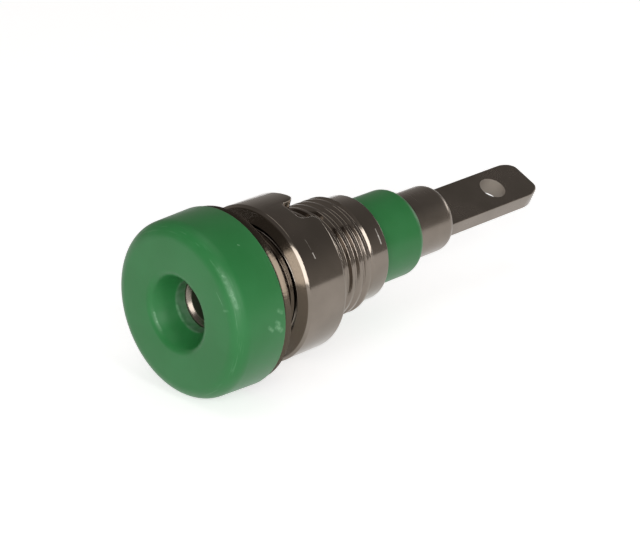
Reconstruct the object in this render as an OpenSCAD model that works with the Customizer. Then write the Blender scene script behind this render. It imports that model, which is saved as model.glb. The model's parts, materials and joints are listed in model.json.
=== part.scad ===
// Insulated banana socket for a panel: moulded cap, threaded bush, slotted ring
// nut, rear collar and a turned contact that ends in a flat solder tab.
// The axis runs along Y. The mouth looks towards -Y and the tab towards +Y.
// The origin is on the axis, where the back of the flange meets the panel.

/* [Cap] */
// Diameter of the cap at its back edge
cap_d = 9; // [8.6:0.1:10]
// How much narrower the cap is at its front edge
cap_draft = 0.2; // [0:0.05:0.6]
// Length of the cap along the axis
cap_len = 2.9; // [2.4:0.1:4]
// Radius of the rounded front edge
cap_edge_r = 0.8; // [0.3:0.05:1]
// Diameter of the mouth at the front face
mouth_d = 3.8; // [3.4:0.05:4.4]
// Radius of the rounded lip of the mouth
mouth_lip_r = 0.4; // [0.1:0.05:0.5]
// Length of the tapered lead-in behind the mouth
mouth_len = 1.25; // [0.8:0.05:1.5]
// Length of the straight throat in front of the contact
throat_len = 0.5; // [0.2:0.05:0.8]
// Width of the contact's flat face that shows in the throat
throat_step = 0.1; // [0.05:0.05:0.15]

/* [Bush] */
// Thickness of the flange that sits on the panel
flange_t = 0.5; // [0.3:0.05:0.8]
// How far the flange stays inside the cap's back edge
flange_inset = 0.1; // [0:0.05:0.3]
// Width of the fine groove between the cap and the flange's rim
rim_groove_w = 0.15; // [0.1:0.05:0.2]
// Depth of that groove
rim_groove_depth = 0.2; // [0.1:0.05:0.3]
// Outer diameter of the thread
thread_d = 6; // [5.8:0.1:6.6]
// Length of the threaded part behind the panel seat
thread_len = 7.2; // [6.5:0.1:10]
// Depth of the step from the thread down to the plain end
thread_step = 0.25; // [0.2:0.05:0.4]
// Length of the plain end behind the thread
plain_len = 1.3; // [0.8:0.1:2]
// Wall of the bush at the plain end
bush_wall = 0.45; // [0.3:0.05:0.5]
// Chamfer on the plain end's back edge
plain_chamfer = 0.2; // [0.1:0.05:0.3]

/* [Ring nut] */
// Outer diameter of the ring nut
nut_d = 8; // [7.6:0.1:8.6]
// Thickness of the ring nut
nut_t = 2.5; // [2:0.1:3]
// Room left for the panel between the flange and the nut
panel_gap = 1.55; // [0.5:0.05:2.5]
// Running clearance between the nut and the thread, on the radius
nut_clear = 0.05; // [0.03:0.01:0.1]
// Chamfer on the nut's outer edges
nut_chamfer = 0.15; // [0.1:0.05:0.3]
// Chamfer at both ends of the nut's bore
nut_lead = 0.3; // [0.1:0.05:0.4]
// Width of the two wrench slots
slot_w = 1.4; // [1:0.1:1.8]
// Depth of the wrench slots
slot_depth = 1; // [0.6:0.1:1.4]
// Radius in the bottom corners of the slots
slot_r = 0.35; // [0.15:0.05:0.45]
// Turn of the slots about the axis, from upright
slot_turn = 17.5; // [0:0.5:180]

/* [Rear collar] */
// Length of the collar that stands out behind the bush
collar_len = 3.1; // [2:0.1:5]
// Radius of the collar's rounded back edge
collar_edge_r = 0.5; // [0.2:0.05:0.6]

/* [Contact] */
// Diameter of the plug bore
bore_d = 2; // [1.9:0.01:2.1]
// Depth of the plug bore behind the contact's front face
bore_len = 11; // [8:0.5:12]
// Radius of the bore's rounded front edge
bore_edge_r = 0.2; // [0.1:0.05:0.2]
// Wall of the tube around the bore
tube_wall = 0.5; // [0.45:0.05:0.6]
// Diameter of the shank behind the collar
shank_d = 3.55; // [3.3:0.05:3.8]
// Length of the shank
shank_len = 2.9; // [2:0.1:4]
// Radius of the shank's rounded back edge
shank_edge_r = 0.6; // [0.2:0.05:0.8]

/* [Solder tab] */
// Width of the tab
tab_w = 2.55; // [2:0.05:3]
// Thickness of the tab
tab_t = 0.95; // [0.5:0.05:1.2]
// Length of the tab behind the shank
tab_len = 7.2; // [5:0.05:10]
// Radius of the tab's end corners
tab_corner_r = 0.9; // [0.2:0.05:1]
// Diameter of the wire hole
tab_hole_d = 1.4; // [1:0.05:1.6]
// Distance from the tab's end to the middle of the wire hole
tab_hole_back = 2.7; // [1.5:0.05:3.5]
// Turn of the tab about the axis, from lying flat
tab_turn = 25; // [0:1:180]

/* [Hidden] */

GREEN = [0.25, 0.5, 0.3];
NICKEL = [0.62, 0.59, 0.56];

// Smoothness of round shapes, and how far a cutter runs past what it cuts
$fn = 96;
past = 1;
// Small edge breaks on turned metal, and half the angle of a drill's point
edge_break = 0.1;
drill_half_angle = 59;

// Stations along the axis, from the front to the tail
cap_back = -flange_t;
cap_front = cap_back - cap_len;
mouth_end = cap_front + mouth_len;
contact_front = mouth_end + throat_len;
sleeve_meet = thread_len / 2;
plain_end = thread_len + plain_len;
collar_end = plain_end + collar_len;
shank_end = collar_end + shank_len;
tab_end = shank_end + tab_len;

// Radii, each worked out from the piece that it sits in or on
cap_r = cap_d / 2;
flange_r = cap_r - flange_inset;
thread_r = thread_d / 2;
plain_r = thread_r - thread_step;
sleeve_r = plain_r - bush_wall;
bore_r = bore_d / 2;
tube_r = bore_r + tube_wall;
throat_r = bore_r + bore_edge_r + throat_step;
shank_r = shank_d / 2;
nut_r = nut_d / 2;
nut_bore_r = thread_r + nut_clear;

// Rounded front edge of the cap: an arc that meets the front face and the side
cap_slope = atan(cap_draft / 2 / cap_len);
cap_edge = [
    cap_r - (cap_len - cap_edge_r) * tan(cap_slope) - cap_edge_r / cos(cap_slope),
    cap_front + cap_edge_r
];
// Rounded lip of the mouth: an arc that meets the front face and the lead-in
mouth_slope = atan((mouth_d / 2 - throat_r) / mouth_len);
mouth_lip = [
    mouth_d / 2 - mouth_lip_r * tan(mouth_slope) + mouth_lip_r / cos(mouth_slope),
    cap_front + mouth_lip_r
];

// Turns a half section, drawn as [radius, station], about the axis
module turned() {
    rotate([-90, 0, 0])
        rotate_extrude()
            children();
}

// A ring with a round section, which rounds an edge of a turned piece
module round_edge(middle, r) {
    turned()
        translate(middle)
            circle(r);
}

// A sleeve between two stations whose back edge is rounded
module round_backed_sleeve(inner_r, outer_r, front, back, edge_r) {
    turned()
        polygon([
            [inner_r, front],
            [outer_r, front],
            [outer_r, back - edge_r],
            [outer_r - edge_r, back],
            [inner_r, back]
        ]);
    round_edge([outer_r - edge_r, back - edge_r], edge_r);
}

// Moulded cap with its lead-in, and the sleeve that holds it in the bush
module front_insulator() {
    color(GREEN) {
        turned()
            polygon([
                mouth_lip - mouth_lip_r * [cos(mouth_slope), sin(mouth_slope)],
                [throat_r, mouth_end],
                [throat_r, contact_front],
                [tube_r, contact_front],
                [tube_r, sleeve_meet],
                [sleeve_r, sleeve_meet],
                [sleeve_r, cap_back],
                [cap_r, cap_back],
                cap_edge + cap_edge_r * [cos(cap_slope), -sin(cap_slope)],
                [cap_edge[0], cap_front],
                [mouth_lip[0], cap_front]
            ]);
        round_edge(cap_edge, cap_edge_r);
        round_edge(mouth_lip, mouth_lip_r);
    }
}

// Turned bush: flange, thread at its outer diameter, and plain end
module threaded_bush() {
    groove_r = flange_r - rim_groove_depth;
    color(NICKEL)
        turned()
            polygon([
                [sleeve_r, cap_back],
                [groove_r, cap_back],
                [groove_r, cap_back + rim_groove_w],
                [flange_r, cap_back + rim_groove_w],
                [flange_r, -edge_break],
                [flange_r - edge_break, 0],
                [thread_r, 0],
                [thread_r, thread_len - thread_step],
                [plain_r, thread_len],
                [plain_r, plain_end - plain_chamfer],
                [plain_r - plain_chamfer, plain_end],
                [sleeve_r, plain_end]
            ]);
}

// Section of a wrench slot: open at the back, round in its bottom corners
module slot_section(bottom, top) {
    corner_x = slot_w / 2 - slot_r;
    translate([-slot_w / 2, bottom + slot_r])
        square([slot_w, top - bottom - slot_r]);
    translate([-corner_x, bottom])
        square([2 * corner_x, top - bottom]);
    for (side = [-1, 1])
        translate([side * corner_x, bottom + slot_r])
            circle(slot_r);
}

// Round nut, slotted across its back for a two-pin wrench
module ring_nut() {
    front = panel_gap;
    back = panel_gap + nut_t;
    lead = nut_bore_r + nut_lead;
    color(NICKEL)
        difference() {
            turned()
                polygon([
                    [nut_bore_r, front + nut_lead],
                    [lead, front],
                    [nut_r - nut_chamfer, front],
                    [nut_r, front + nut_chamfer],
                    [nut_r, back - nut_chamfer],
                    [nut_r - nut_chamfer, back],
                    [lead, back],
                    [nut_bore_r, back - nut_lead]
                ]);
            rotate([0, slot_turn, 0])
                linear_extrude(nut_d + 2 * past, center = true)
                    slot_section(back - slot_depth, back + past);
        }
}

// Moulded collar behind the bush, with the sleeve that holds it there
module rear_insulator() {
    color(GREEN)
        round_backed_sleeve(tube_r, sleeve_r, sleeve_meet, collar_end, collar_edge_r);
}

// Outline of the solder tab, with rounded end corners and the wire hole
module tab_outline() {
    root = shank_end - shank_edge_r - edge_break;
    corner_x = tab_w / 2 - tab_corner_r;
    difference() {
        union() {
            translate([-tab_w / 2, root])
                square([tab_w, tab_end - tab_corner_r - root]);
            translate([-corner_x, root])
                square([2 * corner_x, tab_end - root]);
            for (side = [-1, 1])
                translate([side * corner_x, tab_end - tab_corner_r])
                    circle(tab_corner_r);
        }
        translate([0, tab_end - tab_hole_back])
            circle(tab_hole_d / 2);
    }
}

// Turned contact: tube with the plug bore, shank, and the flat solder tab
module socket_contact() {
    bore_end = contact_front + bore_len;
    bore_edge = [bore_r + bore_edge_r, contact_front + bore_edge_r];
    color(NICKEL) {
        turned()
            polygon([
                [bore_r, bore_edge[1]],
                [bore_edge[0], contact_front],
                [tube_r, contact_front],
                [tube_r, collar_end],
                [0, collar_end],
                [0, bore_end + bore_r / tan(drill_half_angle)],
                [bore_r, bore_end]
            ]);
        round_edge(bore_edge, bore_edge_r);
        round_backed_sleeve(0, shank_r, collar_end, shank_end, shank_edge_r);
        rotate([0, tab_turn, 0])
            linear_extrude(tab_t, center = true)
                tab_outline();
    }
}

front_insulator();
threaded_bush();
ring_nut();
rear_insulator();
socket_contact();
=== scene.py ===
# %% [markdown]
# # A small banana socket
#
# This notebook dresses a panel socket for a 2 mm banana plug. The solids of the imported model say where
# each piece is and how large it is. What they lack is what the eye looks for on such a part: the spiral
# of the thread, the broken edges of turned metal, the satin skin of moulded plastic and the marks of
# handling. Each step below says what a piece is on the real socket, how it could be made, and why it is
# made this way.

# %% The frame
import json
import math

import bmesh
import bpy
from mathutils import Matrix, Vector


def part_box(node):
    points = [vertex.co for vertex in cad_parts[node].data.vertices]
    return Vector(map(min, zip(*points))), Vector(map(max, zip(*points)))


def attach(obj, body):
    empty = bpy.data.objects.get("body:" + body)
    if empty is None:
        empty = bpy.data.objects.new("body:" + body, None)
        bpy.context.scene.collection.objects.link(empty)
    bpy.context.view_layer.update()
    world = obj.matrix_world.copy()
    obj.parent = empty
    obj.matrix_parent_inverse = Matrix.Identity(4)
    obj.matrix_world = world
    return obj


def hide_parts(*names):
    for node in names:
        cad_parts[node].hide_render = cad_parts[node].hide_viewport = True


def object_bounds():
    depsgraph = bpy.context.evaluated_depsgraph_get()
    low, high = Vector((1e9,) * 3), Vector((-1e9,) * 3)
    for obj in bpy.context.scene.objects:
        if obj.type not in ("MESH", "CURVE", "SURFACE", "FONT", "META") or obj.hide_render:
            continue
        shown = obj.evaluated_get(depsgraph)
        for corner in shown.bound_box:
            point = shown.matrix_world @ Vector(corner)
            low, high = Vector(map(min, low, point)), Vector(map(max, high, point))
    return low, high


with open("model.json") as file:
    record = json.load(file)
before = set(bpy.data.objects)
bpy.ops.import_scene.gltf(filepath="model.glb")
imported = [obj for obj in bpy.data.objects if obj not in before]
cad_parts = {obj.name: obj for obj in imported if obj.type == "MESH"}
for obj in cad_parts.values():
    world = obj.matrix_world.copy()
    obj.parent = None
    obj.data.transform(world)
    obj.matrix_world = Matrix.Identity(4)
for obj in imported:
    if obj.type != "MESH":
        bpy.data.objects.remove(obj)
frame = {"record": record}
cad_low, cad_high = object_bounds()
MM = 0.001

# %% [markdown]
# ## Sizes
#
# The axis of the socket runs along Y, with the mouth towards -Y. A place along the axis is called a
# station. The outer sizes are read from the solids' boxes and the record's mounts, so the dressed pieces
# keep the solids' reach. The other sizes are written in millimetres next to the piece that uses them
# first.

# %% Sizes read from the solids
def reach(node):
    """Front station, back station and outer radius of a turned node, in millimetres."""
    low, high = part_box(node)
    return low.y / MM, high.y / MM, high.z / MM


def mount(name):
    """One mount of the record, by its name."""
    return next(m for m in frame["record"]["mounts"] if m["name"] == name)


cap_front, sleeve_meet, cap_r = reach("front_insulator")
cap_back, bush_end, flange_r = reach("threaded_bush")
nut_front, nut_back, nut_r = reach("ring_nut")
_, collar_end, sleeve_r = reach("rear_insulator")
contact_front, tab_end, shank_r = reach("socket_contact")
bore_r = mount("plug_bore")["dims"]["r_mm"]
print(f"cap {2 * cap_r:.2f} mm across, whole socket {tab_end - cap_front:.2f} mm long")

# %% [markdown]
# ## Turned pieces
#
# All five pieces are turned or moulded round, at least for most of their length. Blender has a Screw
# modifier and a Spin tool for that. Here a half section is drawn as one flat face, its corners are
# rounded by a vertex bevel, and its outline is spun about the axis. The face keeps the section closed, so
# the spun skin has no gap, and a corner's radius is a plain number beside its point.

# %% A half section with rounded corners
MIN_ARC_SEGMENTS = 4
ARC_SEGMENTS_PER_MM = 16


def round_off(bm, geom, offset, segments, affect):
    """Rounds vertices or edges of a bmesh. The offset says, in millimetres, where the round starts."""
    bmesh.ops.bevel(bm, geom=geom, offset=offset * MM, offset_type="OFFSET", segments=segments,
                    profile=0.5, affect=affect, material=-1)


def arc_start(before, corner, after):
    """How far from a corner its round starts, for a corner given as (radius, station, corner radius)."""
    one_way = Vector((before[0] - corner[0], before[1] - corner[1]))
    other_way = Vector((after[0] - corner[0], after[1] - corner[1]))
    return corner[2] / math.tan(one_way.angle(other_way) / 2)


def draw_section(bm, points):
    """Draws a closed half section as a face.

    A point is (radius, station), or (radius, station, corner radius) where the corner is round."""
    corners = [bm.verts.new((p[0] * MM, p[1] * MM, 0)) for p in points]
    bm.faces.new(corners)
    for i, point in enumerate(points):
        if len(point) == 3:
            start = arc_start(points[i - 1], point, points[(i + 1) % len(points)])
            segments = max(MIN_ARC_SEGMENTS, round(ARC_SEGMENTS_PER_MM * point[2]))
            round_off(bm, [corners[i]], start, segments, "VERTICES")


print(f"a corner of 1 mm radius gets {ARC_SEGMENTS_PER_MM} segments")

# %% A section spun about the axis
STEPS = 144
MERGE = 0.0005 * MM


def everything(bm):
    """All vertices, edges and faces of a bmesh."""
    return bm.verts[:] + bm.edges[:] + bm.faces[:]


def close_skin(bm):
    """Merges what lies together and turns all faces outwards."""
    bmesh.ops.remove_doubles(bm, verts=bm.verts[:], dist=MERGE)
    bmesh.ops.dissolve_degenerate(bm, edges=bm.edges[:], dist=MERGE)
    bmesh.ops.recalc_face_normals(bm, faces=bm.faces[:])


def spin_outline(bm):
    """Spins every edge that is drawn so far about the Y axis, and closes seams and poles."""
    bmesh.ops.delete(bm, geom=bm.faces[:], context="FACES_ONLY")
    bmesh.ops.spin(bm, geom=everything(bm), cent=(0, 0, 0), axis=(0, 1, 0), dvec=(0, 0, 0),
                   angle=2 * math.pi, steps=STEPS, use_merge=True)
    close_skin(bm)


def turned(points):
    """A bmesh of a turned piece, from the points of its half section."""
    bm = bmesh.new()
    draw_section(bm, points)
    spin_outline(bm)
    return bm


print(f"a full turn has {STEPS} steps")

# %% [markdown]
# ## Pieces that stand for solids
#
# A dressed piece takes the place of a solid: it replaces the node and rides on the same body. Smooth
# shading alone would bend the light on a wide flat face beside a small round, so edges over a certain
# angle stay sharp, and the Weighted Normal modifier lets the large faces keep their direction.

# %% Objects and their shading
SHARP = math.radians(32)
FLAT_WEIGHT = 80


def add_object(name, bm):
    """Makes an object at the origin from a bmesh."""
    mesh = bpy.data.meshes.new(name)
    bm.to_mesh(mesh)
    bm.free()
    piece = bpy.data.objects.new(name, mesh)
    bpy.context.scene.collection.objects.link(piece)
    return piece


def smooth_piece(piece):
    """Shades a piece smooth, keeps corners sharp and flats flat."""
    piece.data.shade_smooth()
    piece.data.set_sharp_from_angle(angle=SHARP)
    weighted = piece.modifiers.new("flat faces stay flat", "WEIGHTED_NORMAL")
    weighted.keep_sharp = True
    weighted.weight = FLAT_WEIGHT


def open_edges(piece):
    """How many edges of a piece don't have two faces."""
    bm = bmesh.new()
    bm.from_mesh(piece.data)
    count = sum(len(e.link_faces) != 2 for e in bm.edges)
    bm.free()
    return count


def dress(piece, node, body):
    """Lets a piece stand for a solid: it hides the solid's node and rides on the same body."""
    smooth_piece(piece)
    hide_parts(node)
    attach(piece, body)
    print(f"{piece.name}: {len(piece.data.polygons)} faces, {open_edges(piece)} open edges")


print(f"edges over {math.degrees(SHARP):.0f} degrees stay sharp")

# %% [markdown]
# ## The moulded cap
#
# The cap is the green front that a hand meets. It is one moulding: a short drum with a little draft, a
# large soft radius round its front edge, a funnel that leads the plug in, and a thin sleeve that lines
# the bush. A cylinder with a cut hole would give hard rims, so the whole half section is drawn at once,
# and the front radius and the lip of the funnel are corner radii of that section.

# %% Cap
cap_draft = 0.1
cap_edge_r = 0.8
mouth_r = 1.9
mouth_lip_r = 0.4
mouth_len = 1.25
throat_margin = 0.3
throat_edge_r = 0.25
tube_wall = 0.5
moulded_edge_r = 0.06

throat_r = bore_r + throat_margin
tube_r = bore_r + tube_wall

cap = add_object("moulded_cap", turned([
    (mouth_r, cap_front, mouth_lip_r),
    (throat_r, cap_front + mouth_len, throat_edge_r),
    (throat_r, contact_front),
    (tube_r, contact_front),
    (tube_r, sleeve_meet),
    (sleeve_r, sleeve_meet),
    (sleeve_r, cap_back),
    (cap_r, cap_back, moulded_edge_r),
    (cap_r - cap_draft, cap_front, cap_edge_r),
]))
dress(cap, "front_insulator", "socket")

# %% [markdown]
# ## The rear collar
#
# The second moulding closes the bush from behind and keeps the contact clear of the metal. Only its
# collar shows, a plain ring with a rounded back edge. A bevelled cylinder would look the same from
# outside. A spun section also gives the hole for the contact, and the rounded edge is again one number.

# %% Collar
collar_edge_r = 0.5

collar = add_object("moulded_collar", turned([
    (tube_r, sleeve_meet),
    (sleeve_r, sleeve_meet),
    (sleeve_r, collar_end, collar_edge_r),
    (tube_r, collar_end),
]))
dress(collar, "rear_insulator", "socket")

# %% [markdown]
# ## The threaded bush
#
# The bush is turned from bar: a thin flange that sits on the panel, a fine thread, and a plain end. A
# texture can fake a thread from one side, but the crests catch the light one by one and show at the
# outline, so the thread is real. Spin has a step along its axis as well as a turn, so spinning one tooth
# gives a helix. The plate softens the tooth, so its crest and its roots are a little round. The helix is
# made too long and pressed into the bush's own outline: it fades at both ends, and runs out shallow
# towards the flange. Then it is trimmed flat at both ends and bridged to the spun rest of the bush.

# %% One tooth of the thread
pitch = 0.54
thread_r = 3.0
thread_depth = 0.19
flank_angle = math.radians(30)
crest_flat = 0.17
tooth_r = 0.05

root_r = thread_r - thread_depth


def tooth_section(bm, start):
    """Draws the outline of one tooth, one pitch long, from the middle of a groove to the next."""
    flank = thread_depth * math.tan(flank_angle)
    rise = (pitch - crest_flat) / 2 - flank
    draw_section(bm, [
        (root_r - thread_depth, start),
        (root_r, start),
        (root_r, start + rise, tooth_r),
        (thread_r, start + rise + flank, tooth_r),
        (thread_r, start + pitch - rise - flank, tooth_r),
        (root_r, start + pitch - rise, tooth_r),
        (root_r, start + pitch),
        (root_r - thread_depth, start + pitch),
    ])
    inner = [v for v in bm.verts if v.co.x < (root_r - thread_depth / 2) * MM]
    bmesh.ops.delete(bm, geom=inner, context="VERTS")


print(f"tooth {thread_depth:.2f} mm deep, one every {pitch:.2f} mm")

# %% Outline that the thread keeps to
thread_start = 0.15
thread_end = 7.2
run_out_depth = 0.06
run_out_end = 1.65


def thread_limit(station):
    """Largest radius that the bush's outline allows the thread at a station."""
    from_end = min(station - thread_start, thread_end - station)
    return root_r + min(max(from_end, 0), thread_depth)


def thread_floor(station):
    """Smallest radius of the thread at a station: the groove runs out shallow towards the flange."""
    shallow = thread_r - run_out_depth
    return max(root_r, min(shallow, shallow - (station - run_out_end)))


def press_into_outline(bm):
    """Moves each point of the helix to a radius that the bush's outline allows there."""
    for v in bm.verts:
        radius = math.hypot(v.co.x, v.co.z)
        station = v.co.y / MM
        kept = min(max(radius, thread_floor(station) * MM), thread_limit(station) * MM)
        v.co.x *= kept / radius
        v.co.z *= kept / radius


print(f"thread from {thread_start:.2f} to {thread_end:.2f} mm, shallow up to {run_out_end:.2f} mm")

# %% The thread spun as a helix
thread_phase = 0.34
spare_turns = 2
THREAD_STEPS = 120

first_tooth = thread_start - spare_turns * pitch + thread_phase
turns = math.ceil((thread_end - first_tooth) / pitch) + 1

thread = bmesh.new()
tooth_section(thread, first_tooth)
bmesh.ops.spin(thread, geom=everything(thread), cent=(0, 0, 0), axis=(0, 1, 0),
               dvec=(0, pitch / THREAD_STEPS * MM, 0), angle=2 * math.pi, steps=THREAD_STEPS)
one_turn = everything(thread)
for turn in range(1, turns):
    copy = bmesh.ops.duplicate(thread, geom=one_turn)["geom"]
    bmesh.ops.translate(thread, vec=(0, turn * pitch * MM, 0),
                        verts=[g for g in copy if isinstance(g, bmesh.types.BMVert)])
bmesh.ops.remove_doubles(thread, verts=thread.verts[:], dist=MERGE)
press_into_outline(thread)
for station, outwards in ((thread_start, -1), (thread_end, 1)):
    bmesh.ops.bisect_plane(thread, geom=everything(thread), dist=MERGE, plane_co=(0, station * MM, 0),
                           plane_no=(0, outwards, 0), clear_outer=True)
print(f"thread: {turns} turns spun, {len(thread.faces)} faces kept")

# %% Flange, plain end and bore of the bush
metal_edge_r = 0.05
rim_groove_w = 0.15
rim_groove_depth = 0.2
flange_break = 0.08
rim_chamfer = 0.1
plain_r = 2.75
plain_chamfer = 0.2
ring_gap = 0.05

before_thread = thread_start - ring_gap
after_thread = thread_end + ring_gap
groove_r = flange_r - rim_groove_depth
rim_front = cap_back + rim_groove_w

plain = bmesh.new()
draw_section(plain, [
    (plain_r, after_thread),
    (plain_r, bush_end - plain_chamfer, metal_edge_r),
    (plain_r - plain_chamfer, bush_end, metal_edge_r),
    (sleeve_r, bush_end),
    (sleeve_r, cap_back),
    (groove_r, cap_back),
    (groove_r, rim_front),
    (flange_r - rim_chamfer, rim_front),
    (flange_r, rim_front + rim_chamfer),
    (flange_r, 0, flange_break),
    (root_r, 0),
    (root_r, before_thread),
])
# The helix takes the place of the edge that spans the thread
for edge in plain.edges[:]:
    front, back = sorted(v.co.y / MM for v in edge.verts)
    if abs(front - before_thread) < ring_gap / 2 and abs(back - after_thread) < ring_gap / 2:
        bmesh.ops.delete(plain, geom=[edge], context="EDGES_FACES")
spin_outline(plain)
print(f"bush without its thread: {len(plain.faces)} faces")

# %% Thread and bush bridged
def rings(bm, station):
    """Open edges of a bmesh that lie at a station."""
    return [e for e in bm.edges if e.is_boundary and
            all(abs(v.co.y - station * MM) < MERGE for v in e.verts)]


plain_mesh = bpy.data.meshes.new("bush without thread")
plain.to_mesh(plain_mesh)
plain.free()
thread.from_mesh(plain_mesh)
bpy.data.meshes.remove(plain_mesh)
for near, far in ((thread_start, before_thread), (thread_end, after_thread)):
    bmesh.ops.bridge_loops(thread, edges=rings(thread, near) + rings(thread, far))
close_skin(thread)
bush = add_object("threaded_bush_turned", thread)
dress(bush, "threaded_bush", "socket")

# %% [markdown]
# ## The ring nut
#
# The nut is a plain ring with a slot across its back for a two-pin wrench. A Boolean would mill the slot,
# but with knife-sharp edges, and the real slot has soft, tumbled ones. So the ring is spun, planes along
# the slot cut rows of edges into it, and the back face is then pressed down between them: a round corner
# at the bottom, a steep wall, a round edge at the top. Towards the rim the walls lean away, which rounds
# that edge as well.

# %% Section of the slot
slot_width = 1.4
slot_depth = 1.0
slot_corner_r = 0.35
slot_mouth_r = 0.4
slot_wall = 0.03
FILLET_ROWS = 7

slot_half = slot_width / 2


def arc_sag(inside, radius):
    """How far a quarter round of this radius has fallen at a distance from its side."""
    left = radius - min(max(inside, 0), radius)
    return radius - math.sqrt(radius * radius - left * left)


def slot_drop(x):
    """How far the back face is pressed down at a distance from the slot's middle."""
    if x < slot_half:
        return slot_depth - arc_sag(slot_half - x, slot_corner_r)
    if x < slot_half + slot_wall:
        share = (x - slot_half) / slot_wall
        return (slot_depth - slot_corner_r) * (1 - share) + slot_mouth_r * share
    return arc_sag(x - slot_half - slot_wall, slot_mouth_r)


def slot_rows():
    """Distances from the slot's middle at which the ring gets a row of edges."""
    bend = [1 - math.cos(math.pi / 2 * k / FILLET_ROWS) for k in range(FILLET_ROWS + 1)]
    bottom = [slot_half - slot_corner_r * b for b in bend]
    mouth = [slot_half + slot_wall + slot_mouth_r * b for b in bend]
    return sorted(bottom + mouth)


print(f"slot {slot_depth:.1f} mm deep, shaped by {len(slot_rows())} rows of edges on each side")

# %% Ring nut
thread_clearance = 0.05
nut_chamfer = 0.15
nut_lead = 0.14
slot_turn = math.radians(17.5)
slot_rim_r = 0.1
lean_reach = 1.6
lean_fade = 1.2

nut_bore_r = thread_r + thread_clearance
nut_middle = (nut_front + nut_back) / 2
to_slot = Matrix.Rotation(-slot_turn, 3, "Y")
to_nut = to_slot.inverted()


def lean(x, r):
    """How far a point moves away from the slot's middle, so that the slot's rim is round."""
    fade = min(x / slot_half, 1) * min(max((slot_half + lean_reach - x) / lean_fade, 0), 1)
    return arc_sag(nut_r - r, slot_rim_r) * fade


def press_slot(bm):
    """Presses the back of the ring down along the slot."""
    for v in bm.verts:
        at = to_slot @ v.co / MM
        r = math.hypot(at.x, at.z)
        x = at.x + math.copysign(lean(abs(at.x), r), at.x)
        if at.y > nut_middle and abs(x) < r:
            z = math.copysign(math.sqrt(r * r - x * x), at.z)
            v.co = to_nut @ Vector((x, at.y - slot_drop(abs(at.x)), z)) * MM


ring = turned([
    (nut_bore_r, nut_front + nut_lead),
    (nut_bore_r + nut_lead, nut_front),
    (nut_r - nut_chamfer, nut_front, metal_edge_r),
    (nut_r, nut_front + nut_chamfer, metal_edge_r),
    (nut_r, nut_back, nut_chamfer),
    (nut_r - slot_rim_r, nut_back),
    (nut_bore_r + nut_lead, nut_back),
    (nut_bore_r, nut_back - nut_lead),
])
across_slot = to_nut @ Vector((1, 0, 0))
for row in slot_rows():
    for side in (-1, 1):
        bmesh.ops.bisect_plane(ring, geom=everything(ring), dist=MERGE,
                               plane_co=across_slot * side * row * MM, plane_no=across_slot)
press_slot(ring)
close_skin(ring)
nut = add_object("slotted_ring_nut", ring)
dress(nut, "ring_nut", "nut")

# %% [markdown]
# ## The contact
#
# The contact is the metal that carries the current: a tube with the plug bore, a shank behind the collar,
# and a flat tab with a hole for the wire. The round part is spun. The tab is a block with broken edges. A
# bevel rounds its end corners as quarter circles, and a stretch along the axis then makes them longer
# than wide, as on the real tab. A Boolean joins the tab to the shank, so that no hidden face is left
# inside, and another one drills the hole with a tool that also breaks the hole's edges.

# %% Round part of the contact
bore_edge_r = 0.2
bore_rim_r = 0.1
drill_point = 0.6
shank_len = 2.9
shank_edge_r = 0.6

bore_front = contact_front + bore_edge_r
bore_end = bore_front + mount("plug_bore")["dims"]["length_mm"]
shank_end = collar_end + shank_len

contact = add_object("turned_contact", turned([
    (bore_r, bore_front, bore_rim_r),
    (bore_r + bore_edge_r, contact_front, bore_rim_r),
    (tube_r, contact_front),
    (tube_r, collar_end),
    (shank_r, collar_end),
    (shank_r, shank_end, shank_edge_r),
    (0, shank_end),
    (0, bore_end + drill_point),
    (bore_r, bore_end),
]))
print(f"plug bore ends at {bore_end:.2f} mm, shank at {shank_end:.2f} mm")

# %% Solder tab
wire_hole = mount("tab_hole")
hole_r = wire_hole["dims"]["r_mm"]
hole_middle = Vector(wire_hole["pos_m"])
hole_axis = Vector(wire_hole["axis"])
tab_t = wire_hole["dims"]["length_mm"]
tab_w = 2.55
tab_corner_w = 0.62
tab_corner_len = 1.05
tab_edge_r = 0.07
tab_turn = math.atan2(hole_axis.x, hole_axis.z)
CORNER_SEGMENTS = 12
EDGE_SEGMENTS = 3


def is_level(edge):
    """Whether both ends of an edge are equally high."""
    return abs(edge.verts[0].co.z - edge.verts[1].co.z) < MERGE


def solder_tab():
    """The flat tab, turned about the axis, with round end corners and broken edges."""
    root = shank_end - shank_edge_r - metal_edge_r
    stretch = tab_corner_len / tab_corner_w
    bm = bmesh.new()
    bmesh.ops.create_cube(bm, size=1)
    bmesh.ops.scale(bm, vec=Vector((tab_w, (tab_end - root) / stretch, tab_t)) * MM, verts=bm.verts[:])
    upright = [e for e in bm.edges if not is_level(e) and e.verts[0].co.y > 0]
    round_off(bm, upright, tab_corner_w, CORNER_SEGMENTS, "EDGES")
    bmesh.ops.scale(bm, vec=(1, stretch, 1), verts=bm.verts[:])
    bmesh.ops.translate(bm, vec=(0, (root + tab_end) / 2 * MM, 0), verts=bm.verts[:])
    rim = [e for e in bm.edges if is_level(e) and max(v.co.y for v in e.verts) > root * MM + MERGE
           and len({round(f.normal.z) for f in e.link_faces}) == 2]
    round_off(bm, rim, tab_edge_r, EDGE_SEGMENTS, "EDGES")
    bmesh.ops.recalc_face_normals(bm, faces=bm.faces[:])
    bmesh.ops.rotate(bm, cent=(0, 0, 0), matrix=Matrix.Rotation(tab_turn, 3, "Y"), verts=bm.verts[:])
    return add_object("solder tab", bm)


print(f"tab {tab_w:.2f} by {tab_t:.2f} mm, turned {math.degrees(tab_turn):.0f} degrees")

# %% Tab joined and drilled
hole_chamfer = 0.02
past = 1.0


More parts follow.
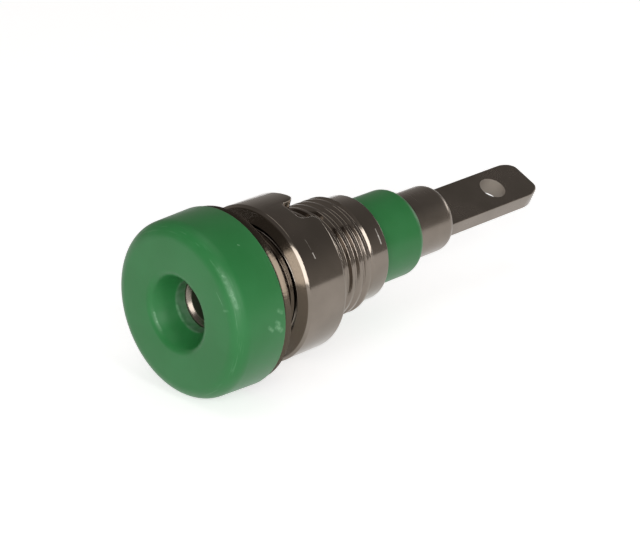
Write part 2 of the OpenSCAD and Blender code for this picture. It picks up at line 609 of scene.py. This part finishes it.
def wire_drill():
    """The tool that drills the wire hole and breaks both of its edges."""
    half = tab_t / 2
    flare_r = hole_r + hole_chamfer + past
    bm = turned([
        (0, -half - past),
        (flare_r, -half - past),
        (hole_r, -half + hole_chamfer),
        (hole_r, half - hole_chamfer),
        (flare_r, half + past),
        (0, half + past),
    ])
    turn = Vector((0, 1, 0)).rotation_difference(hole_axis).to_matrix().to_4x4()
    bmesh.ops.transform(bm, matrix=Matrix.Translation(hole_middle) @ turn, verts=bm.verts[:])
    return add_object("wire drill", bm)


def boolean(piece, tool, operation):
    """Cuts a piece with a tool, or joins the two, and clears the tool away."""
    modifier = piece.modifiers.new("tool", "BOOLEAN")
    modifier.object = tool
    modifier.operation = operation
    modifier.solver = "EXACT"
    shaped = piece.evaluated_get(bpy.context.evaluated_depsgraph_get())
    mesh = bpy.data.meshes.new_from_object(shaped)
    piece.modifiers.clear()
    piece.data = mesh
    bpy.data.objects.remove(tool)


boolean(contact, solder_tab(), "UNION")
boolean(contact, wire_drill(), "DIFFERENCE")
dress(contact, "socket_contact", "socket")

# %% [markdown]
# ## Shader maths
#
# A finish is a small program. Written node by node it is long and hard to read, so one class wraps an
# output socket: Python's operators on it add Math nodes, and one method adds any other node. Colours go
# through Mix and places through Vector Math, because a Math node would turn them into one number.

# %% A socket with Python's operators
GIVES_NUMBER = ("LENGTH", "DISTANCE", "DOT_PRODUCT")


class Wire:
    """An output socket of a shader node. Operators on it add Math nodes to the same tree."""

    def __init__(self, socket):
        self.socket = socket

    def node(self, kind, settings=None, inputs=None, output=0):
        """Adds a node: its type, its settings, and the values or wires of its inputs."""
        made = self.socket.id_data.nodes.new("ShaderNode" + kind)
        for name, value in (settings or {}).items():
            setattr(made, name, value)
        for key, value in (inputs or {}).items():
            plug_in(made, key, value)
        return Wire(made.outputs[output])

    def maths(self, operation, *values):
        """Adds a Math node."""
        return self.node("Math", {"operation": operation}, dict(enumerate(values)))

    def vector(self, operation, *values):
        """Adds a Vector Math node."""
        output = "Value" if operation in GIVES_NUMBER else "Vector"
        return self.node("VectorMath", {"operation": operation}, dict(enumerate(values)), output)

    def part(self, index):
        """One coordinate of a vector."""
        return self.node("SeparateXYZ", {}, {0: self}, index)

    def __add__(self, other):
        return self.maths("ADD", self, other)

    def __radd__(self, other):
        return self.maths("ADD", other, self)

    def __sub__(self, other):
        return self.maths("SUBTRACT", self, other)

    def __rsub__(self, other):
        return self.maths("SUBTRACT", other, self)

    def __mul__(self, other):
        return self.maths("MULTIPLY", self, other)

    def __rmul__(self, other):
        return self.maths("MULTIPLY", other, self)

    def __abs__(self):
        return self.maths("ABSOLUTE", self)

    def step(self, low, high):
        """0 below low, 1 above high, and smooth between."""
        return self.node("MapRange", {"interpolation_type": "SMOOTHSTEP"}, {
            "Value": self, "From Min": low, "From Max": high, "To Min": 0.0, "To Max": 1.0})


def plug_in(node, name, value):
    """Gives an input of a node a wire, or sets it to a value."""
    if isinstance(value, Wire):
        node.id_data.links.new(value.socket, node.inputs[name])
    else:
        node.inputs[name].default_value = value


print("operators that add Math nodes: + - * and abs")

# %% Helpers for finishes
MIX_SHARE, MIX_FIRST, MIX_SECOND, MIX_COLOUR = 0, 6, 7, 2
CLOUD_RANGE = (0.3, 0.7)


def mix(share, first, second):
    """A colour between two colours. A Mix node has sockets for each kind of data, here those for colours."""
    inputs = {MIX_SHARE: share, MIX_FIRST: first, MIX_SECOND: second}
    return share.node("Mix", {"data_type": "RGBA"}, inputs, MIX_COLOUR)


def noise(place, scale, detail=2.0, roughness=0.5):
    """Soft noise with features of about 1 / scale."""
    inputs = {"Vector": place, "Scale": scale, "Detail": detail, "Roughness": roughness}
    return place.node("TexNoise", {}, inputs)


def sideways(place):
    """The part of a place that leads away from the socket's axis."""
    return place.vector("MULTIPLY", place, (1, 0, 1))


def from_axis(place):
    """The distance of a place from the socket's axis."""
    return place.vector("LENGTH", sideways(place))


def finish_of(name):
    """A new material: its Principled shader, and a wire that carries a point's place in metres."""
    material = bpy.data.materials.new(name)
    material.use_nodes = True
    shader = material.node_tree.nodes["Principled BSDF"]
    place = Wire(shader.outputs[0]).node("TexCoord", output="Object")
    return material, shader, place


def linear(red, green, blue):
    """A colour as a picture states it, from 0 to 255, as the shader wants it: without the sRGB curve."""
    def curve(c):
        c /= 255
        return c / 12.92 if c <= 0.04045 else ((c + 0.055) / 1.055) ** 2.4
    return (curve(red), curve(green), curve(blue), 1.0)


print("middle grey for the shader:", round(linear(128, 128, 128)[0], 3))

# %% [markdown]
# ## Marks of handling, and painted highlights
#
# A used socket has a few pale scuff marks on the plastic and a few scratches on the plate. Some strokes
# are painted highlights instead: pale lines along the cap's front edge, on the lip and the throat edge of
# the mouth, and a bright line on the bush's plain end. An image could hold them, but it would need a map
# of each surface. They are few, so each one is a straight stroke between two places on the piece. It fades
# with the distance from that line, so it sits on the surface and stays there from any side.

# %% Strokes on a surface
def round_place(degrees, radius, station):
    """A point in millimetres, given by its angle from +X towards +Z, its radius and its station."""
    turn = math.radians(degrees)
    return Vector((radius * math.cos(turn), station, radius * math.sin(turn)))


def stroke(place, start, end, width):
    """A thin mark along the line between two points, each given as (angle, radius, station)."""
    first_end = round_place(*start) * MM
    along = round_place(*end) * MM - first_end
    offset = place.vector("SUBTRACT", place, first_end)
    share = place.vector("DOT_PRODUCT", offset, along / along.length_squared)
    share = share.node("Clamp", {}, {"Value": share})
    nearest = share.node("VectorMath", {"operation": "SCALE"}, {0: along, "Scale": share})
    return 1 - place.vector("DISTANCE", offset, nearest).step(0.0, width * MM)


def marks_of(place, strokes):
    """All strokes of a list in one mask. A stroke is its two ends, its width and its strength."""
    mask = 0.0
    for start, end, width, strength in strokes:
        mask = stroke(place, start, end, width) * strength + mask
    return mask


# The first three strokes along the front edge are wide painted highlights; the narrow ones after them are
# hairline wear and small marks.
cap_edge_wear_and_highlights = [
    ((47.0, 4.13, -3.20), (38.0, 4.13, -3.20), 0.20, 0.11),
    ((37.0, 4.13, -3.20), (29.0, 4.15, -3.18), 0.20, 0.14),
    ((29.0, 4.15, -3.18), (20.0, 4.20, -3.13), 0.20, 0.18),
    ((42.0, 4.14, -3.19), (40.2, 4.21, -3.12), 0.08, 0.25),
    ((33.0, 4.18, -3.15), (28.5, 4.21, -3.12), 0.06, 0.15),
    ((27.0, 4.21, -3.12), (21.5, 4.24, -3.08), 0.06, 0.2),
    ((33.5, 3.48, -3.40), (23.2, 3.58, -3.40), 0.06, 0.16),
    ((19.0, 3.58, -3.40), (18.8, 3.79, -3.38), 0.10, 0.16),
]
# Painted highlights on the lip of the mouth and on the edge of the throat.
mouth_painted_highlights = [
    ((196.0, 1.33, -2.17), (212.0, 1.33, -2.17), 0.12, 0.3),
    ((212.0, 1.33, -2.17), (229.0, 1.33, -2.17), 0.12, 0.26),
    ((197.0, 1.82, -3.22), (212.0, 1.82, -3.22), 0.08, 0.25),
    ((212.0, 1.82, -3.22), (226.0, 1.82, -3.22), 0.08, 0.18),
]
cap_side_strokes = [
    ((9.5, 4.48, -0.92), (7.8, 4.49, -0.72), 0.15, 0.34),
    ((3.0, 4.47, -1.10), (1.0, 4.48, -0.92), 0.14, 0.42),
    ((-0.2, 4.47, -1.10), (-3.5, 4.49, -0.80), 0.18, 0.4),
    ((1.0, 4.45, -1.56), (-1.8, 4.46, -1.34), 0.14, 0.3),
    ((56.0, 4.45, -1.64), (55.4, 4.45, -1.60), 0.06, 0.6),
]
# A painted highlight: a bright line near the back edge of the bush's plain end.
bush_painted_highlight = [
    ((38.6, 2.75, 7.95), (31.0, 2.75, 7.95), 0.05, 0.6),
    ((31.0, 2.75, 7.95), (22.3, 2.75, 7.97), 0.06, 0.85),
]
nut_strokes = [
    ((46.0, 4.0, 2.45), (43.0, 4.0, 2.47), 0.035, 0.25),
    ((42.0, 4.0, 2.47), (38.0, 4.0, 2.48), 0.03, 0.2),
    ((35.5, 4.0, 2.49), (31.5, 4.0, 2.51), 0.05, 0.8),
]
cap_marks_and_highlights = cap_edge_wear_and_highlights + mouth_painted_highlights + cap_side_strokes
for name, strokes in (("cap", cap_marks_and_highlights), ("bush", bush_painted_highlight), ("nut", nut_strokes)):
    print(f"{name}: {len(strokes)} strokes")

# %% [markdown]
# ## Moulded green plastic
#
# The insulation is a dense satin plastic. Up close its colour is not quite even, and its skin has a faint
# grain from the mould. The throat gets a painted sheen: patches of paler grey over a hollow that lies in
# shade. Hands have left hairlines round the front edge, and the side of the cap has pale scuff marks. Pale
# strokes along the front edge and in the mouth are painted highlights. A flat colour with one roughness
# would look like a toy, so each of these is a mask of its own in the piece's coordinates, and the masks mix
# a paler colour into the green.

# %% Wear and a painted sheen on the cap
edge_inset = 0.1
edge_line_width = (0.05, 0.45)
hairlines_round = 4.0
hairlines_across = 11.0 / MM
hairline_range = (0.56, 0.72)
throat_fade = (0.005, 0.06)
sheen_patch_scale = 2.5 / MM
sheen_patch_range = (0.35, 0.65)


def worn_edge(place):
    """Faint hairlines that run round the cap's front edge, where hands and plugs rub it."""
    outwards = place.vector("NORMALIZE", sideways(place))
    over_edge = from_axis(place) + place.part(1)
    off_edge = abs(over_edge - (cap_r + cap_front - edge_inset) * MM)
    lines_at = place.node("CombineXYZ", {}, {
        0: hairlines_round * outwards.part(0),
        1: hairlines_round * outwards.part(2),
        2: over_edge * hairlines_across,
    })
    lines = noise(lines_at, 1.0).step(*hairline_range)
    near, far = edge_line_width
    return lines * (1 - off_edge.step(near * MM, far * MM))


def painted_throat_sheen(place):
    """Painted sheen: uneven patches of paler grey on the straight throat in front of the contact."""
    near, far = throat_fade
    outside = from_axis(place).step((throat_r + near) * MM, (throat_r + far) * MM)
    behind = place.part(1).step(contact_front * MM, cap_back * MM)
    patches = 0.6 + 0.6 * noise(place, sheen_patch_scale).step(*sheen_patch_range)
    return (1 - outside) * (1 - behind) * patches


# How far from the axis the painted sheen on the throat reaches.
print(f"throat rubbed up to {throat_r + throat_fade[1]:.2f} mm from the axis")

# %% Plastic
green_deep = linear(38, 117, 58)
green_pale = linear(46, 124, 66)
# Paler grey of the painted sheen on the throat.
throat_sheen_grey = linear(150, 175, 155)
# Pale colour of the scuff marks, hairlines and painted highlights.
scuff_and_highlight_pale = linear(150, 205, 160)
green_cloud_scale = 0.35 / MM
stroke_break_scale = 6.0 / MM
stroke_break_range = (0.4, 0.62)
hairline_strength = 0.16
throat_sheen_strength = 0.3
grain_scale = 9.0 / MM
grain_depth = 0.01
grain_strength = 0.12
plastic_roughness = 0.31
plastic_ior = 1.45


def moulded_green():
    """Satin green plastic with a mould grain, scuff marks, hairlines, painted highlights and a painted sheen
    on the throat.
    """
    material, shader, place = finish_of("moulded green")
    cloud = noise(place, green_cloud_scale, 3.0)
    grain = noise(place, grain_scale)
    broken = 0.5 + 0.8 * noise(place, stroke_break_scale, 3.0, 0.7).step(*stroke_break_range)
    scuffs_and_highlights = marks_of(place, cap_marks_and_highlights) * broken + hairline_strength * worn_edge(place)
    colour = mix(cloud.step(*CLOUD_RANGE), green_deep, green_pale)
    # Painted sheen: paler grey mixed over the throat, which lies in shade.
    colour = mix(throat_sheen_strength * painted_throat_sheen(place), colour, throat_sheen_grey)
    # Scuff marks, hairlines and the painted highlights of the edge and mouth strokes.
    colour = mix(scuffs_and_highlights, colour, scuff_and_highlight_pale)
    bump = grain.node("Bump", {}, {
        "Strength": grain_strength, "Distance": grain_depth * MM, "Height": grain})
    plug_in(shader, "Base Color", colour)
    plug_in(shader, "Roughness", plastic_roughness + 0.1 * cloud + 0.05 * grain)
    plug_in(shader, "Normal", bump)
    plug_in(shader, "IOR", plastic_ior)
    return material


green = moulded_green()
for piece in (cap, collar):
    piece.data.materials.clear()
    piece.data.materials.append(green)
print(f"{green.name}: {len(green.node_tree.nodes)} nodes")

# %% [markdown]
# ## Nickel plate
#
# The metal is brass with a nickel plate, which mirrors its surroundings: light from the table below, dark
# from the room above. The lathe leaves rings that follow the axis, so the fine grain is a noise of the
# radius and the station alone, which makes rings on round faces and on flat ones alike. On the flange,
# the neck and the nut's front face the tool left coarser feed marks. A wave would tilt the mirror both
# ways and mottle it, so the marks are saw teeth, which all lean one way: the face is dark but for one
# bright patch that faces a lamp.

# %% Masks of the drilled holes, for painted shade and a painted reflection
bore_wall_fade = (0.01, 0.04)
bore_end_fade = (-0.2, 0.8)
hole_wall_fade = (0.005, 0.025)


def in_plug_bore(place):
    """1 on the wall of the plug bore, 0 elsewhere."""
    wall_near, wall_far = bore_wall_fade
    end_near, end_far = bore_end_fade
    outside = from_axis(place).step((bore_r + wall_near) * MM, (bore_r + wall_far) * MM)
    behind = place.part(1).step((bore_end + end_near) * MM, (bore_end + end_far) * MM)
    return (1 - outside) * (1 - behind)


def in_wire_hole(place):
    """1 on the wall of the wire hole, 0 elsewhere."""
    near, far = hole_wall_fade
    offset = place.vector("SUBTRACT", place, hole_middle)
    beside = place.vector("LENGTH", place.vector("CROSS_PRODUCT", offset, hole_axis))
    outside = beside.step((hole_r + near) * MM, (hole_r + far) * MM)
    return (1 - outside) * place.part(1).step(collar_end * MM, shank_end * MM)


print(f"holes: plug bore {2 * bore_r:.1f} mm, wire hole {2 * hole_r:.1f} mm across")

# %% Nickel
nickel_deep = linear(124, 116, 107)
nickel_pale = linear(134, 125, 116)
faced_brown = linear(85, 76, 66)
# Painted shade of the deep plug bore, with a green tint for a painted reflection of the cap, and a pale
# painted reflection for the wire hole.
bore_painted_shade = linear(54, 60, 44)
hole_painted_reflection = linear(158, 149, 139)
# Pale colour of the scratches on the nut and of the painted highlight on the bush.
scratch_and_highlight_pale = linear(235, 230, 222)
ring_scale = 22.0 / MM
ring_depth = 0.0007
nickel_cloud_scale = 0.5 / MM
nickel_roughness = 0.08
groove_pitch = 0.05
groove_slope = 0.96
faced_fade = 0.03
faced_dulling = 0.04
# How much metal the painted shade of the bore and the painted reflection in the wire hole take away.
bore_shade_metal_loss = 0.85
hole_reflection_metal_loss = 0.75
drilled_dulling = 0.3


def nickel_plate(name, satin=0.0, faced_before=None, drilled=False, strokes=()):
    """Bright nickel with lathe rings and a faint cloudiness.

    A satin value makes it duller. What lies before a station may have feed marks. Drilled holes may be
    painted: a dark greenish painted shade in the deep plug bore and a pale painted reflection in the wire
    hole, both less metallic. Strokes are bright marks: scratches on the nut and a painted highlight on the
    bush."""
    material, shader, place = finish_of(name)
    radius = from_axis(place)
    station = place.part(1)
    lathe = noise(place.node("CombineXYZ", {}, {0: radius, 1: station}), ring_scale, 2.0, 0.6)
    cloud = noise(place, nickel_cloud_scale, 3.0)
    colour = mix(cloud.step(*CLOUD_RANGE), nickel_deep, nickel_pale)
    metal = 1.0
    roughness = nickel_roughness + satin + 0.08 * cloud + 0.04 * lathe
    bump = lathe.node("Bump", {}, {"Strength": 1.0, "Distance": ring_depth * MM, "Height": lathe})
    if faced_before is not None:
        faced = 1 - station.step(faced_before * MM, (faced_before + faced_fade) * MM)
        teeth = (station - radius) * (1 / (groove_pitch * MM))
        grooves = faced * teeth.maths("FRACT", teeth)
        depth = groove_slope * groove_pitch * MM
        bump = grooves.node("Bump", {}, {
            "Strength": 1.0, "Distance": depth, "Height": grooves, "Normal": bump})
        colour = mix(faced, colour, faced_brown)
        roughness = roughness + faced_dulling * faced
    if drilled:
        # Painted shade in the deep plug bore and a painted reflection in the wire hole.
        in_bore = in_plug_bore(place)
        in_hole = in_wire_hole(place)
        colour = mix(in_bore, colour, bore_painted_shade)
        colour = mix(in_hole, colour, hole_painted_reflection)
        metal = metal - bore_shade_metal_loss * in_bore - hole_reflection_metal_loss * in_hole
        roughness = roughness + drilled_dulling * (in_bore + in_hole)
    # Bright strokes: scratches on the nut, a painted highlight on the bush.
    if strokes:
        scratch_and_highlight = marks_of(place, strokes)
        colour = mix(scratch_and_highlight, colour, scratch_and_highlight_pale)
        metal = metal - scratch_and_highlight
    plug_in(shader, "Base Color", colour)
    plug_in(shader, "Metallic", metal)
    plug_in(shader, "Roughness", roughness)
    plug_in(shader, "Normal", bump)
    return material


print(f"lathe rings {ring_depth} mm deep, feed marks {groove_pitch} mm apart")

# %% Nickel on the three metal pieces
contact_satin = 0.12
face_margin = 0.01

bush_nickel = nickel_plate("nickel plate with a cut thread", faced_before=nut_front, strokes=bush_painted_highlight)
nut_nickel = nickel_plate("nickel plate with a faced front", faced_before=nut_front + face_margin,
                          strokes=nut_strokes)
contact_nickel = nickel_plate("satin nickel plate with drilled holes", satin=contact_satin, drilled=True)
for piece, finish in ((bush, bush_nickel), (nut, nut_nickel), (contact, contact_nickel)):
    piece.data.materials.clear()
    piece.data.materials.append(finish)
    print(f"{finish.name}: {len(finish.node_tree.nodes)} nodes")

# %% [markdown]
# ## White sheet
#
# The socket lies on a white sheet. An endless floor would fill the lower half of every mirror, so the
# sheet is a disc of limited size, and the metal shows a light lower part and a dark upper part. The sheet
# glows a little for the camera and for mirrors alone, which makes it white without more light on the
# socket. It still takes the lamps' light by itself, so it keeps the socket's soft shadow.

# %% Floor
floor_r = 118.0
floor_z = cad_low.z / MM
FLOOR_SEGMENTS = 96
sheet_white = (0.8, 0.8, 0.8, 1.0)
sheet_glow = (0.62, 0.62, 0.62, 1.0)
sheet_roughness = 0.9
black = (0.0, 0.0, 0.0, 1.0)


def white_sheet():
    """White paper: lit by the lamps, and lifted to white where the eye or a mirror sees it."""
    material, shader, place = finish_of("white sheet")
    seen = 0.0
    for ray in ("Is Camera Ray", "Is Glossy Ray", "Is Transmission Ray"):
        seen = place.maths("MAXIMUM", seen, place.node("LightPath", output=ray))
    plug_in(shader, "Base Color", sheet_white)
    plug_in(shader, "Roughness", sheet_roughness)
    plug_in(shader, "Specular IOR Level", 0.0)
    plug_in(shader, "Emission Color", mix(seen, black, sheet_glow))
    plug_in(shader, "Emission Strength", 1.0)
    return material


sheet = bmesh.new()
bmesh.ops.create_circle(sheet, cap_ends=True, segments=FLOOR_SEGMENTS, radius=floor_r * MM)
bmesh.ops.translate(sheet, vec=(0, (cap_front + tab_end) / 2 * MM, floor_z * MM), verts=sheet.verts[:])
floor = add_object("white_sheet", sheet)
floor.data.materials.append(white_sheet())
print(f"sheet {2 * floor_r:.0f} mm across at a height of {floor_z:.2f} mm")

# %% [markdown]
# ## Light
#
# Metal shows its surroundings more than its own colour, so the lamps are placed for what they draw on it.
# A broad soft box stands in front, a little left of the camera, and lights the cap. A narrow strip on the
# right draws the bright lines along the nut and the thread. A low, wide strip behind catches the rear
# edges, and a dim ceiling lifts the tops. The room itself is dim, and a little lighter near the horizon
# than overhead.

# %% Lamps
lamp_aim = Vector((0, 6.0, 0))


def direction(azimuth, elevation):
    """A direction away from the socket. Azimuth 0 is in front of it, and 90 on the right."""
    a = math.radians(azimuth)
    e = math.radians(elevation)
    return Vector((math.sin(a) * math.cos(e), -math.cos(a) * math.cos(e), math.sin(e)))


def soft_lamp(name, azimuth, elevation, distance, width, height, radiance):
    """A rectangular soft box that looks at the socket."""
    lamp = bpy.data.lights.new(name, "AREA")
    lamp.shape = "RECTANGLE"
    lamp.size = width * MM
    lamp.size_y = height * MM
    lamp.energy = radiance * math.pi * lamp.size * lamp.size_y
    outwards = direction(azimuth, elevation)
    holder = bpy.data.objects.new(name, lamp)
    holder.location = (lamp_aim + outwards * distance) * MM
    holder.rotation_euler = outwards.to_track_quat("Z", "Y").to_euler()
    bpy.context.scene.collection.objects.link(holder)
    print(f"{name}: {lamp.energy:.3f} W")


soft_lamp("front soft box", azimuth=37, elevation=19, distance=220, width=118, height=145, radiance=4.75)
soft_lamp("ceiling", azimuth=0, elevation=88, distance=260, width=200, height=200, radiance=0.7)
soft_lamp("right strip", azimuth=77, elevation=25, distance=240, width=19, height=150, radiance=9.5)
soft_lamp("back strip", azimuth=172, elevation=14, distance=240, width=120, height=60, radiance=2.8)

# %% Room
room_low = (0.375, 0.355, 0.338, 1.0)
room_high = (0.2, 0.19, 0.183, 1.0)
horizon_fade = (0.05, 0.7)


def dim_room():
    """A plain room that is a little lighter near the horizon than overhead."""
    world = bpy.data.worlds.new("dim room")
    world.use_nodes = True
    background = world.node_tree.nodes["Background"]
    height = Wire(background.outputs[0]).node("TexCoord", output="Generated").part(2)
    plug_in(background, "Color", mix(height.step(*horizon_fade), room_low, room_high))
    return world


bpy.context.scene.world = dim_room()
bpy.context.scene.view_settings.view_transform = "Standard"
print("world:", bpy.context.scene.world.name)

# %% [markdown]
# ## Camera
#
# The camera looks at the socket from the front right, a little from above. Its place could be found by
# eye, but the rims of the socket are circles, and their ellipses in the picture fix it well. The lens is
# stated by its focal length in pixels, because that is what such a fit gives. The picture's width in
# pixels and the sensor's width in millimetres turn it into the lens that Blender wants.

# %% Camera at the picture's viewpoint
view_azimuth = 44.97
view_elevation = 22.52
view_distance = 120.137
view_aim = Vector((0.396, 5.844, -0.398))
focal_pixels = 2421.0
image_width = 640
sensor_width = 36.0
clip_near = 1.0
clip_far = 10000.0

lens = bpy.data.cameras.new("camera")
lens.sensor_fit = "HORIZONTAL"
lens.sensor_width = sensor_width
lens.lens = focal_pixels * sensor_width / image_width
lens.clip_start = clip_near * MM
lens.clip_end = clip_far * MM
outwards = direction(view_azimuth, view_elevation)
camera = bpy.data.objects.new("camera", lens)
camera.location = (view_aim + outwards * view_distance) * MM
camera.rotation_euler = outwards.to_track_quat("Z", "Y").to_euler()
bpy.context.scene.collection.objects.link(camera)
bpy.context.scene.camera = camera
print(f"lens {lens.lens:.1f} mm")
